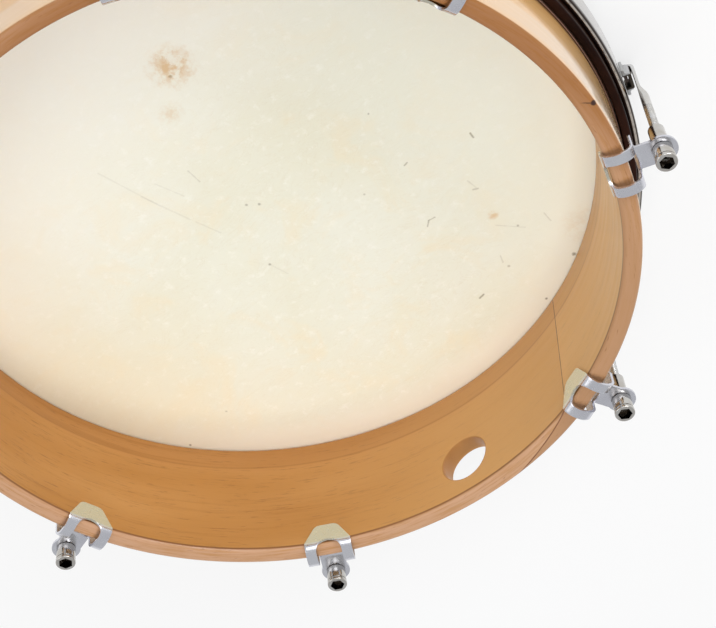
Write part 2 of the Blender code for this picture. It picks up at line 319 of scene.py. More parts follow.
def addBump(shader, height, strength, distance):
    node = newNode("ShaderNodeBump", (height,))
    setInputs(node, {"Height": height, "Strength": strength, "Distance": distance})
    setInputs(shader, {"Normal": node.outputs[0]})


# shell
shellPlan = {
    "wall": 0.0105,
    "rimRounding": 0.0022,
    "bearingRounding": 0.0030,
    "bearingLip": 0.0012,
    "holeRadius": 0.015,
    "holeBelowRim": 0.027,
    "holeAngle": -90.0,
    "holeEase": 0.0011,
    "holeMargin": 0.006,
    "sharpTurn": 1.0,      # radians between the faces at an edge of the hole
    "steps": 288,
}


# shell wood: the board runs round the drum from its scarf joint
woodPlan = {
    "light": (0.60, 0.290, 0.078),
    "main": (0.500, 0.215, 0.038),
    "oldEnd": (0.80, 0.470, 0.180),
    "dark": (0.34, 0.120, 0.022),
    "otherEnd": (0.93, 0.59, 0.25),
    "rimTone": (0.52, 0.300, 0.180),
    "rimBrown": (0.44, 0.225, 0.095),
    "rimPale": (0.380, 0.200, 0.100),
    "rimDark": (0.250, 0.085, 0.012),
    "pore": (0.20, 0.075, 0.025),
    "fleck": (0.24, 0.085, 0.022),
    # painted glare: a pale band standing for the lacquer's reflection high on the outside
    "paintedGlare": (0.76, 0.60, 0.44),
    # painted shade and dark reflection of the hoop, low on the outside
    "paintedHoopShade": (0.075, 0.014, 0.003),
    "glue": (0.15, 0.05, 0.015),
    "knotBrown": (0.035, 0.012, 0.007),
    "patterns": {              # scale along, up and through the board, detail, roughness, distortion
        "cloud": ((6, 22, 60), 2.0, 0.5, 0.0),
        "grain": ((9, 260, 260), 4.0, 0.6, 0.4),
        "fine": ((60, 1500, 1500), 3.0, 0.6, 0.0),
        "fleck": ((90, 1000, 1000), 3.0, 0.6, 0.0),
        "streak": ((2.2, 75, 75), 3.0, 0.55, 0.6),
        "layers": ((45, 200, 700), 4.0, 0.65, 0.0),
        "pores": ((230, 900, 900), 2.0, 0.5, 0.3),
    },
    "marks": [                 # pattern, its values where the mark starts and is full, depth, colour
        ("grain", 0.52, 0.80, 0.42, "dark"),
        ("streak", 0.60, 0.72, 0.26, "dark"),
        ("fine", 0.55, 0.75, 0.22, "dark"),
        ("fleck", 0.57, 0.70, 0.42, "fleck"),
    ],
    "scarfInside": -64.6,      # degrees round Z, on the inner wall
    "scarfOutside": -81.3,     # on the outer wall
    "scarfLean": 7.92,         # degrees that the line would lean over a height of one radius
    "glueHalfWidth": 0.0030,   # radians round the axis
    "glueOnRim": 0.16,         # the scarf crosses the rim at a slant, so the line is drawn wider there
    "shadeLineHeight": 0.0165,      # a faint painted shade line round the inner wall, with darker wood below it
    "paintedGlareDepth": 0.019,      # how far below the rim the painted glare reaches on the outside
    "paintedHoopShadeHeight": 0.0055,    # how far above the flesh hoop the painted shade shows
    "knot": (0.1983, -0.0140, 0.0864),
    "knotRadius": 0.0022,
    "tailSlope": 0.8,          # a short dark crack that runs off the knot
    "tailLength": 0.0062,
}


def makeWood():
    plan = woodPlan
    material, tree, shader = newMaterial("lacquered beech")
    place = objectPlace(tree)
    x, y, z = splitVector(place)
    radius = fromAxis(x, y)
    innerWall = shellRadius - shellPlan["wall"]

    # coordinates of the flat board: along it from the scarf, up, and through
    across = fade(radius, innerWall, shellRadius)
    across.node.interpolation_type = "LINEAR"
    inside = math.radians(plan["scarfInside"])
    outside = math.radians(plan["scarfOutside"])
    lean = math.radians(plan["scarfLean"]) / shellRadius
    scarf = plus(calc("MULTIPLY_ADD", across, outside - inside, inside), times(minus(rimZ / 2, z), lean))
    angle = calc("ARCTAN2", y, x)
    turn = calc("FLOORED_MODULO", minus(angle, scarf), 2 * math.pi)
    board = tree.nodes.new("ShaderNodeCombineXYZ")
    fillSockets(board.inputs, (times(turn, shellRadius), z, radius))
    patterns = {name: noise(board.outputs[0], *values) for name, values in plan["patterns"].items()}
    cloud, grain = patterns["cloud"], patterns["grain"]

    color = mix(fade(cloud, 0.30, 0.72), plan["main"], plan["light"])
    for name, low, high, depth, tone in plan["marks"]:
        color = mix(fade(patterns[name], low, high, 0.0, depth), color, plan[tone])

    # the two ends of the board differ a little
    color = mix(fade(turn, 0.9, 1.5, 0.45, 0.0), color, plan["otherEnd"])
    color = mix(fade(turn, 5.2, 6.1, 0.0, 0.6), color, plan["oldEnd"])

    # rim face: paler and pinker, with the board's layers showing
    upward = splitVector(tree.nodes.new("ShaderNodeNewGeometry").outputs["Normal"])[2]
    onRim = times(fade(upward, 0.1, 0.6), fade(z, rimZ - shellPlan["rimRounding"], rimZ - 0.0015))
    rimColor = mix(fade(patterns["layers"], 0.40, 0.68), plan["rimTone"], plan["rimBrown"])
    rimColor = mix(fade(turn, 0.7, 1.1, 0.8, 0.0), rimColor, plan["rimPale"])
    darkEnd = times(fade(turn, 0.75, 1.35), fade(turn, 2.6, 3.4, 0.75, 0.0))
    rimColor = mix(darkEnd, rimColor, plan["rimDark"])
    rimColor = mix(fade(patterns["pores"], 0.64, 0.74, 0.0, 0.6), rimColor, plan["pore"])
    color = mix(times(onRim, 0.92), color, rimColor)

    # a dark line where rim and inner wall meet, and painted shade low inside: a fainter line with slightly
    # darker wood below it
    inner = fade(radius, innerWall + 0.0018, innerWall + 0.0009)
    offArris = calc("ABSOLUTE", minus(z, rimZ - 0.0019))
    arris = times(fade(offArris, 0.0002, 0.0010, 0.85, 0.0), inner)
    color = mix(arris, color, plan["pore"])
    level = calc("MULTIPLY_ADD", cloud, 0.004, plan["shadeLineHeight"] - 0.002)
    above = minus(z, level)
    paintedShadeLowWall = calc("MAXIMUM", fade(above, -0.001, 0.0025, 0.18, 0.0),
                   fade(calc("ABSOLUTE", above), 0.0, 0.0014, 0.44, 0.0))
    color = mix(times(paintedShadeLowWall, inner), color, plan["dark"])

    # outside: a paler, warmer tone; a painted glare high up stands for the lacquer's reflection, and painted
    # shade with the hoop's dark reflection lower down
    outer = fade(radius, shellRadius - 0.0006, shellRadius - 0.0002)
    color = mix(times(outer, 0.5), color, plan["otherEnd"])
    # painted glare: a pale band near the rim on the outer wall
    glareFrom = rimZ - plan["paintedGlareDepth"]
    wavy = plus(z, times(cloud, 0.010))
    paintedGlare = times(fade(wavy, glareFrom, glareFrom + 0.005, 0.0, 0.45), outer)
    color = mix(paintedGlare, color, plan["paintedGlare"])
    # painted shade: darker just above the flesh hoop, standing for its shadow and dark reflection
    paintedHoopShade = fade(z, fleshHigh.z, fleshHigh.z + plan["paintedHoopShadeHeight"], 0.94, 0.0)
    color = mix(times(paintedHoopShade, outer), color, plan["paintedHoopShade"])

    # end grain in the thumb hole, which is on the -Y side only
    holeRadius = shellPlan["holeRadius"]
    holeCentre = (0, 0, rimZ - shellPlan["holeBelowRim"])
    fromHole = vectorNode("DISTANCE", stretched(place, (1, 0, 1)), holeCentre, "Value")
    bored = fade(fromHole, holeRadius + 0.0002, holeRadius + 0.0008, 0.5, 0.0)
    color = mix(times(bored, calc("LESS_THAN", y, 0.0)), color, plan["dark"])

    # the glue line of the scarf
    near = calc("MINIMUM", turn, minus(2 * math.pi, turn))
    near = times(near, fade(upward, 0.1, 0.6, 1.0, plan["glueOnRim"]))
    waver = noise(place, 160.0, 2.0)
    near = plus(near, times(waver, 0.0012))
    glue = fade(near, 0.0012, plan["glueHalfWidth"], 0.88, 0.0)
    color = mix(glue, color, plan["glue"])

    # one small knot on the rim, with its tail
    knotX, knotY = plan["knot"][:2]
    ragged = plus(vectorNode("DISTANCE", place, plan["knot"], "Value"), times(waver, 0.0016))
    knot = fade(ragged, 0.0020, plan["knotRadius"] + 0.0008, 0.98, 0.0)
    tailLine = plus(y, times(x, plan["tailSlope"]))
    tailWaver = calc("MULTIPLY_ADD", waver, 0.003, -0.0015 - knotY - plan["tailSlope"] * knotX)
    offTail = calc("ABSOLUTE", plus(tailLine, tailWaver))
    tail = fade(offTail, 0.0002, 0.0008, 0.75, 0.0)
    tail = times(tail, fade(x, knotX - plan["tailLength"], knotX - 0.0025))
    tail = times(tail, times(onRim, calc("LESS_THAN", x, knotX)))
    color = mix(calc("MAXIMUM", knot, tail), color, plan["knotBrown"])

    setInputs(shader, {
        "Base Color": color,
        "Roughness": fade(grain, 0.3, 0.75, 0.34, 0.48),
        "Coat Weight": fade(outer, 0.0, 1.0, 0.25, 1.0),
        "Coat IOR": 1.65,
        "Coat Roughness": 0.07,
        "Specular IOR Level": 0.3,
    })
    height = plus(times(grain, 0.6), plus(times(patterns["fine"], 0.3), glue))
    addBump(shader, height, 0.25, 0.0003)
    return material


# skin: marks read off the head, in metres from the drum's axis
skinPlan = {
    "tone": (0.790, 0.775, 0.630),
    "pale": (0.815, 0.815, 0.700),
    "warm": (0.835, 0.745, 0.540),
    # pale patches, also used as painted light towards +Y
    "lift": (0.930, 0.925, 0.840),
    # painted light: a near-white for the head by the wall
    "edge": (0.990, 0.935, 0.780),
    "cool": (0.820, 0.855, 0.760),
    "hem": (0.30, 0.16, 0.11),
    "fibre": (0.64, 0.54, 0.34),
    "stainColor": (0.64, 0.38, 0.14),
    "speckColor": (0.17, 0.13, 0.07),
    "rootColor": (0.42, 0.32, 0.18),
    "rootScale": 38.0,
    "edgeRadii": (0.166, 0.194),      # where painted light makes the head paler near the wall
    "hemHeights": (0.024, 0.034),     # where it takes the hem's colour
    "patterns": {          # scale, detail, roughness, distortion
        "cloud": (9.0, 4.0, 0.55, 0.6),
        "patch": (26.0, 5.0, 0.6, 0.8),
        "pore": (900.0, 3.0, 0.6),
        "veins": ((30, 70, 1), 6.0, 0.7, 2.4),
        "mottle": (150.0, 4.0, 0.7),
        "ragged": (210.0, 4.0, 0.7),
    },
    "stains": [            # place, size, depth of colour
        ((0.0192, 0.0935), 0.0165, 0.74),
        ((0.0000, 0.0715), 0.0090, 0.34),
        ((0.0939, -0.0967), 0.0042, 0.60),
        ((0.1300, -0.1367), 0.0180, 0.20),
    ],
    "specks": [
        ((0.0151, 0.0890), 0.0015, 0.40),
        ((0.0833, -0.1668), 0.0013, 0.80),
        ((0.1137, -0.1500), 0.0018, 0.70),
        ((0.1005, -0.1120), 0.0011, 0.50),
        ((0.0802, -0.1326), 0.0012, 0.40),
        ((-0.1458, -0.1186), 0.0012, 0.65),
        ((-0.1121, -0.1119), 0.0010, 0.35),
        ((-0.0070, -0.0015), 0.0011, 0.45),
        ((-0.0013, -0.0057), 0.0011, 0.50),
        ((-0.0231, -0.0423), 0.0012, 0.50),
        ((0.0809, 0.0028), 0.0009, 0.50),
        ((0.0472, -0.0383), 0.0010, 0.35),
    ],
    "strokes": [           # two ends, width, depth of colour: hairs and scratches
        ((-0.0549, 0.0671), (-0.0436, 0.0288), 0.0008, 0.10),
        ((-0.0473, 0.0402), (-0.0371, 0.0111), 0.0009, 0.12),
        ((-0.0356, 0.0076), (-0.0300, -0.0071), 0.0008, 0.11),
        ((-0.0361, 0.0418), (-0.0293, 0.0255), 0.0007, 0.10),
        ((-0.0168, 0.0368), (-0.0165, 0.0273), 0.0007, 0.21),
        ((-0.0231, -0.0423), (-0.0194, -0.0543), 0.0007, 0.10),
        ((0.1159, -0.0431), (0.1156, -0.0465), 0.0009, 0.59),
        ((0.0757, -0.0371), (0.0780, -0.0364), 0.0008, 0.51),
        ((0.0965, -0.0683), (0.0975, -0.0749), 0.0007, 0.17),
        ((0.0954, -0.0750), (0.0979, -0.0762), 0.0010, 0.38),
        ((0.0610, -0.0791), (0.0640, -0.0762), 0.0008, 0.51),
        ((0.0640, -0.0762), (0.0679, -0.0766), 0.0007, 0.42),
        ((0.0910, -0.1036), (0.1030, -0.1158), 0.0006, 0.15),
        ((0.1168, -0.1144), (0.1167, -0.1213), 0.0007, 0.22),
        ((0.0806, -0.1234), (0.0792, -0.1280), 0.0007, 0.22),
        ((0.0540, -0.1409), (0.0571, -0.1401), 0.0010, 0.64),
    ],
    "strokeSpread": 0.0012,
}


def makeSkin():
    plan = skinPlan
    material, tree, shader = newMaterial("goat skin")
    place = objectPlace(tree)
    x, y, z = splitVector(place)
    radius = fromAxis(x, y)
    flat = stretched(place, (1, 1, 0))
    patterns = {name: noise(flat, *values) for name, values in plan["patterns"].items()}
    cloud, patch, mottle, veins = (patterns[name] for name in ("cloud", "patch", "mottle", "veins"))

    color = mix(fade(cloud, 0.35, 0.68), plan["tone"], plan["pale"])
    color = mix(fade(patch, 0.48, 0.70, 0.0, 0.50), color, plan["warm"])
    color = mix(fade(mottle, 0.52, 0.74, 0.0, 0.45), color, plan["lift"])
    fibre = calc("ABSOLUTE", minus(veins, 0.5))
    color = mix(fade(fibre, 0.0, 0.014, 0.20, 0.0), color, plan["fibre"])

    # broad tones: painted light, paler towards +Y and along the near edge to lift the wall's shade; warmer on
    # one side, cooler on the other
    paintedLightTowardsY = fade(minus(y, times(x, 0.3)), 0.0, 0.15, 0.0, 0.8)
    color = mix(paintedLightTowardsY, color, plan["lift"])
    side = fade(plus(x, times(cloud, 0.08)), 0.0, -0.16, 0.0, 0.5)
    color = mix(side, color, plan["warm"])
    # painted light: the head is painted paler near the wall on the near side, where the wall shades it
    edge = fade(plus(radius, times(cloud, 0.01)), *plan["edgeRadii"])
    paintedLightSide = fade(minus(y, times(x, 0.5)), 0.03, -0.12)
    color = mix(times(edge, paintedLightSide), color, plan["edge"])
    color = mix(fade(x, 0.04, 0.14, 0.0, 0.65), color, plan["cool"])
    color = mix(fade(z, *plan["hemHeights"]), color, plan["hem"])

    # stains and specks, then hairs and scratches, all with ragged edges
    shift = minus(patterns["ragged"], 0.5)
    for spots, tint, spread in (("stains", "stainColor", 0.9), ("specks", "speckColor", 1.3)):
        for (spotX, spotY), size, depth in plan[spots]:
            away = vectorNode("DISTANCE", flat, (spotX, spotY, 0.0), "Value")
            reach = plus(away, times(shift, size * spread))
            mark = fade(reach, size * 0.15, size, depth, 0.0)
            if spots == "stains":
                mark = times(mark, fade(mottle, 0.38, 0.60, 0.15, 1.0))
            color = mix(mark, color, plan[tint])
    for start, end, width, depth in plan["strokes"]:
        run = (end[0] - start[0], end[1] - start[1], 0.0)
        toStart = vectorNode("SUBTRACT", flat, (*start, 0.0))
        share = vectorNode("DOT_PRODUCT", toStart, run, "Value")
        share = calc("DIVIDE", share, run[0]**2 + run[1]**2)
        share = calc("MINIMUM", calc("MAXIMUM", share, 0.0), 1.0)
        nearest = tree.nodes.new("ShaderNodeVectorMath")
        nearest.operation = "SCALE"
        setInputs(nearest, {"Vector": run, "Scale": share})
        away = vectorNode("DISTANCE", toStart, nearest.outputs[0], "Value")
        reach = plus(away, times(shift, plan["strokeSpread"]))
        color = mix(fade(reach, 0.0, width, depth, 0.0), color, plan["speckColor"])

    # the dark dots that hair roots leave
    roots = tree.nodes.new("ShaderNodeTexVoronoi")
    setInputs(roots, {"Vector": flat, "Scale": plan["rootScale"]})
    root = fade(roots.outputs["Distance"], 0.006, 0.020, 0.40, 0.0)
    root = times(root, fade(patch, 0.50, 0.60))
    color = mix(root, color, plan["rootColor"])

    setInputs(shader, {
        "Base Color": color,
        "Roughness": fade(patch, 0.3, 0.7, 0.46, 0.60),
        "Specular IOR Level": 0.35,
        "Subsurface Weight": 0.08,
        "Subsurface Radius": (0.003, 0.0025, 0.0015),
        "Subsurface Scale": 1.0,
    })
    height = plus(times(patterns["pore"], 0.35), plus(patch, veins))
    addBump(shader, height, 0.22, 0.0004)
    return material


# metals: tint is a second tone in soft patches, scratches is the strength of the bump
zincPlan = {
    "name": "zinc plate",
    "color": (0.70, 0.71, 0.76),
    "tint": (0.63, 0.63, 0.69),
    "tintScale": 60,
    "tintDepth": 0.8,
    "rough": (0.22, 0.28),
    "scratches": 0.012,
    "yellow": (0.64, 0.60, 0.47),       # inside the shell
}
rodMetalPlan = {
    "name": "zinc plated rod",
    "color": (0.72, 0.72, 0.72),
    "tint": (0.62, 0.60, 0.56),
    "tintScale": 80,
    "tintDepth": 0.8,
    "rough": (0.16, 0.28),
    "scratches": 0.35,
    "shadedTip": (0.05, 0.03, 0.024),     # painted shade on the hooks' tips inside their staples
    "pitch": 0.0008,
    "threadFrom": 0.040,                # above the shell's lower edge
    "threadDepth": 9.0,
}
nickelPlan = {
    "name": "nickel plate",
    "color": (0.58, 0.57, 0.55),
    "tint": (0.50, 0.47, 0.43),
    "tintScale": 120,
    "tintDepth": 0.8,
    "rough": (0.08, 0.18),
    "scratches": 0.03,
    # painted shade inside the hex socket
    "socket": (0.085, 0.072, 0.058),
}
hoopMetalPlan = {
    "name": "hoop chrome",
    "color": (0.52, 0.50, 0.48),
    "tint": (0.44, 0.42, 0.40),
    "tintScale": 30,
    "tintDepth": 0.5,
    "rough": (0.10, 0.16),
    "scratches": 0.06,
    "edge": (0.040, 0.030, 0.024),      # painted dark reflection on the rolled upper edge
    "paintedCrestHighlight": (0.62, 0.56, 0.50),        # with a painted highlight along its crest
}
stapleMetalPlan = {
    "name": "plain plated steel",
    "color": (0.55, 0.55, 0.56),
    "tint": (0.45, 0.46, 0.45),
    "tintScale": 90,
    "tintDepth": 0.8,
    "rough": (0.28, 0.34),
    "scratches": 0.01,
    # painted shade and dark reflection over the bridge and its hollow
    "socket": (0.085, 0.072, 0.058),
}


def makeMetal(plan):
    material, tree, shader = newMaterial(plan["name"])
    place = objectPlace(tree)
    x, y, z = splitVector(place)
    cloud = noise(place, plan["tintScale"], 3.0, 0.6, 0.5)
    color = mix(fade(cloud, 0.35, 0.68, 0.0, plan["tintDepth"]), plan["color"], plan["tint"])
    if "yellow" in plan:
        inside = fade(fromAxis(x, y), shellRadius - 0.0080, shellRadius - 0.0060, 0.85, 0.0)
        belowBend = fade(z, rimZ - 0.0012, rimZ + 0.0004, 1.0, 0.0)
        color = mix(times(inside, belowBend), color, plan["yellow"])
    if "shadedTip" in plan:
        # painted shade: the hook's tip, close to the hoop inside the staple, is painted dark
        tip = fade(fromAxis(x, y), bandHigh.x + 0.0029, bandHigh.x + 0.0036, 0.95, 0.0)
        color = mix(tip, color, plan["shadedTip"])
    if "socket" in plan:
        # painted shade on faces marked as lying in a hollow
        paintedShadeFaces = tree.nodes.new("ShaderNodeAttribute")
        paintedShadeFaces.attribute_name = "socket"
        color = mix(paintedShadeFaces.outputs["Fac"], color, plan["socket"])
    if "edge" in plan:
        # painted reflection on the band's rolled upper edge: dark, with a patchy painted highlight along the
        # crest
        edge = fade(z, bandHigh.z - 0.0045, bandHigh.z - 0.0035, 0.0, 0.96)
        color = mix(edge, color, plan["edge"])
        patchy = fade(noise(place, 240.0, 2.0), 0.30, 0.50, 0.60, 1.0)
        paintedCrestHighlight = times(fade(z, bandHigh.z - 0.0032, bandHigh.z - 0.0024), patchy)
        offOuter = fade(fromAxis(x, y), bandHigh.x - 0.0013, bandHigh.x - 0.0008, 1.0, 0.0)
        color = mix(times(paintedCrestHighlight, offOuter), color, plan["paintedCrestHighlight"])

    wear = noise(place, (300, 300, 1800), 3.0, 0.6)
    fine = noise(place, 1400.0, 2.0)
    height = plus(wear, times(fine, 0.15))
    if "pitch" in plan:
        threadZ = shellBottom + plan["threadFrom"]
        wave = calc("SINE", times(z, 2 * math.pi / plan["pitch"]))
        wave = times(wave, fade(z, threadZ, threadZ + 0.004))
        height = calc("MULTIPLY_ADD", wave, plan["threadDepth"], height)
    setInputs(shader, {
        "Base Color": color,
        "Metallic": 1.0,
        "Roughness": fade(wear, 0.3, 0.7, *plan["rough"]),
    })
    addBump(shader, height, plan["scratches"], 0.0001)
    return material


# flesh hoop wood, stained nearly black
stainedPlan = {
    "dark": (0.008, 0.002, 0.001),
    "light": (0.026, 0.008, 0.004),
    "grain": ((20, 20, 900), 4.0, 0.6),
}


def makeStainedWood():
    plan = stainedPlan
    material, tree, shader = newMaterial("dark stained wood")
    grain = noise(objectPlace(tree), *plan["grain"])
    setInputs(shader, {
        "Base Color": mix(fade(grain, 0.35, 0.7), plan["dark"], plan["light"]),
        "Roughness": fade(grain, 0.3, 0.7, 0.28, 0.42),
        "Specular IOR Level": 0.10,
    })
    addBump(shader, grain, 0.3, 0.0002)
    return material


wood = makeWood()
skin = makeSkin()
zinc = makeMetal(zincPlan)
rodMetal = makeMetal(rodMetalPlan)
nickel = makeMetal(nickelPlan)
hoopMetal = makeMetal(hoopMetalPlan)
stapleMetal = makeMetal(stapleMetalPlan)
stained = makeStainedWood()
print("materials made")


def makeShell():
    plan = shellPlan
    inner = shellRadius - plan["wall"]
    rim, bearing, lip = plan["rimRounding"], plan["bearingRounding"], plan["bearingLip"]
    holeZ = rimZ - plan["holeBelowRim"]
    margin = plan["holeRadius"] + plan["holeMargin"]
    levels = [holeZ + margin, holeZ, holeZ - margin]
    profile = arcPoints((shellRadius - rim, rimZ - rim), rim, 90, 0, 6)
    profile += [(shellRadius, level) for level in levels]
    profile += arcPoints((shellRadius - bearing, shellBottom + bearing), bearing, 0, -90, 6)
    profile += arcPoints((inner + lip, shellBottom + lip), lip, -90, -180, 4)
    profile += [(inner, level) for level in reversed(levels)]
    profile += arcPoints((inner + rim, rimZ - rim), rim, 180, 90, 6)
    shell = spunPiece("shellWood", profile, plan["steps"], wood)

    # thumb hole, with its edges eased
    drill = roundCutter(plan["holeRadius"], plan["wall"] * 3, 72)
    bmesh.ops.rotate(drill, verts=drill.verts, cent=(0, 0, 0), matrix=Matrix.Rotation(math.pi / 2, 3, "Y"))
    bmesh.ops.translate(drill, verts=drill.verts, vec=(shellRadius - plan["wall"] / 2, 0, holeZ))
    bmesh.ops.rotate(drill, verts=drill.verts, cent=(0, 0, 0),
                     matrix=Matrix.Rotation(math.radians(plan["holeAngle"]), 3, "Z"))
    cutAway(shell, drill)
    form = bmesh.new()
    form.from_mesh(shell.data)
    bmesh.ops.remove_doubles(form, verts=form.verts, dist=sameSpot)
    around = []
    for edge in form.edges:
        if len(edge.link_faces) == 2 and edge.calc_face_angle(0) > plan["sharpTurn"]:
            middle = (edge.verts[0].co + edge.verts[1].co) / 2
            offCircle = math.hypot(middle.x, middle.z - holeZ) - plan["holeRadius"]
            if middle.y < 0 and abs(offCircle) < 0.001:
                around.append(edge)
    bmesh.ops.bevel(form, geom=around, offset=plan["holeEase"], segments=3, profile=0.5,
                    affect="EDGES", material=-1, clamp_overlap=True)
    shell.data = toMesh(form, "shellWood", 30)
    shell.data.materials.append(wood)
    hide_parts("shell")
    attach(shell, "shell_and_claws")
    print("shell:", len(around), "edges of the thumb hole eased")


# skin head, one piece from the playing face to the hem
headPlan = {"steps": 288, "rings": 14, "hemSteps": 6, "cutEdge": 0.0003}


def makeHead():
    plan = headPlan
    thick = faceHigh.z - faceLow.z
    outside = turnHigh.x
    inside = outside - thick
    bend = shellPlan["bearingRounding"] + (inside - shellRadius)
    centre = (inside - bend, thick + bend)
    top = hemHigh.z
    rings, hemSteps = plan["rings"], plan["hemSteps"]
    profile = [(inside, top), (inside + plan["cutEdge"], top)]
    profile += [(outside, z) for z in spaced(top, centre[1], hemSteps)[:-1]]
    profile += arcPoints(centre, bend + thick, 0, -90, 6)
    profile += [(centre[0] * (1 - i / rings), 0) for i in range(1, rings + 1)]
    profile += [(centre[0] * i / rings, thick) for i in range(rings)]
    profile += arcPoints(centre, bend, -90, 0, 6)
    profile += [(inside, z) for z in spaced(centre[1], top, hemSteps)[:-1]]
    head = spunPiece("skinHead", profile, plan["steps"], skin, 50)
    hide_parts("drumhead", "drumhead_turn", "drumhead_hem")
    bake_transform(head)
    print("skin head made")


# the two hoops
hoopPlan = {
    "steps": 288,
    "hemGap": 0.0003,
    "fleshEase": 0.0006,
    "fleshRound": 0.0012,
    "skinGap": 0.0005,
    "plate": 0.0018,
    "bend": 0.004,
    "bandEase": 0.0005,
    "bead": 0.0019,        # radius of the rolled upper edge
    "beadNeck": 2.6,       # where the plate leaves it, in radii below the top
}


def makeHoops():
    plan = hoopPlan
    inner = hemHigh.x + plan["hemGap"]
    outer = fleshHigh.x
    low, high = fleshLow.z, fleshHigh.z
    ease = plan["fleshEase"]
    worn = plan["fleshRound"]
    profile = arcPoints((outer - worn, high - worn), worn, 90, 0, 7)
    profile += arcPoints((outer - ease, low + ease), ease, 0, -90, 3)
    profile += arcPoints((inner + ease, low + ease), ease, -90, -180, 3)
    profile += arcPoints((inner + ease, high - ease), ease, 180, 90, 3)
    flesh = spunPiece("fleshBand", profile, plan["steps"], stained)
    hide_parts("flesh_hoop")
    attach(flesh, "hoop")

    outer, plate, bend, ease = bandHigh.x, plan["plate"], plan["bend"], plan["bandEase"]
    low, high = bandLow.z, bandHigh.z
    flange = turnHigh.x + plan["skinGap"]
    bead = plan["bead"]
    profile = arcPoints((outer - bead, high - bead), bead, 90, 0, 8)
    profile += arcPoints((outer - bend, low + bend), bend, 0, -90, 10)
    profile += arcPoints((flange + ease, low + ease), ease, -90, -180, 3)
    profile += arcPoints((flange + ease, low + plate - ease), ease, 180, 90, 3)
    profile += arcPoints((outer - bend, low + bend), bend - plate, -90, 0, 8)
    profile += [(outer - plate, high - bead * plan["beadNeck"])]
    profile += arcPoints((outer - bead, high - bead), bead, 225, 100, 8)
    band = spunPiece("tensionBand", profile, plan["steps"], hoopMetal)
    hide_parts("tension_hoop")
    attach(band, "hoop")
    print("hoops made")


# staples welded on the hoop
staplePlan = {
    "plate": 0.0018,
    "spread": 0.017,
    "bridge": 0.0112,
    "bridgeGap": 0.0031,   # room for the hook between the hoop and the bridge
    "seatGap": 0.0001,
    "footTrim": 0.0002,
    "fillet": 0.0008,
    "corner": 0.0012,
    "ease": 0.0005,
}


def makeStaple():
    plan = staplePlan
    outer = bandHigh.x
    seat = outer + plan["seatGap"]
    back = seat + plan["plate"]
    bridgeInner = outer + plan["bridgeGap"]
    bridgeOuter = bridgeInner + plan["plate"]
    foot, bridge = plan["spread"] / 2 - plan["footTrim"], plan["bridge"] / 2
    fillet, corner = plan["fillet"], plan["corner"]
    half = [(seat, foot), (back, foot), (back, bridge + fillet), (back + fillet, bridge),
            (bridgeOuter - corner, bridge), (bridgeOuter, bridge - corner)]
    hollow = [(bridgeInner, bridge - plan["plate"]), (seat, bridge - plan["plate"])]
    outline = half + [(x, -y) for x, y in reversed(half)] + [(x, -y) for x, y in reversed(hollow)] + hollow
    low, high = (point.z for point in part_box("hoop_loop_1"))
    form = bmesh.new()
    face = form.faces.new([form.verts.new((x, y, low)) for x, y in outline])
    top = bmesh.ops.extrude_face_region(form, geom=[face])
    bmesh.ops.translate(form, vec=(0, 0, high - low),
                        verts=[item for item in top["geom"] if isinstance(item, bmesh.types.BMVert)])

    # cut at both sides of the hollow, so that its faces get painted shade and dark reflection and the feet's
    # don't
    middle = plan["bridge"] / 2 - plan["plate"] / 2
    for y in (-middle, middle):
        bmesh.ops.bisect_plane(form, geom=form.verts[:] + form.edges[:] + form.faces[:],
                               dist=sameSpot, plane_co=(0, y, 0), plane_no=(0, 1, 0))
    bmesh.ops.recalc_face_normals(form, faces=form.faces)
    master = addPiece("stapleMaster", toMesh(form, "stapleMaster"), stapleMetal)
    softenEdges(master, plan["ease"], 2, 30)
    markPaintedShade(master, lambda centre: abs(centre.y) < middle)
    return master


# hooks: a flat strip bent under the staple, then a round threaded rod
hookPlan = {
    "thick": 0.002,
    "width": 0.006,
    "rodRadius": 0.0025,
    "tip": 0.006,
    "strip": 0.027,
    "taper": 0.009,
    "stripOffset": 0.0012, # how far the strip lies inside the rod's line
    "tipOffset": 0.0017,   # from the hoop to the middle of the tip
    "squareness": 5,       # power of the strip's section, 2 is round
    "endShare": 0.82,      # both ends are a little thinner
    "around": 28,
    "taperSteps": 10,
    "rodSteps": 12,
}


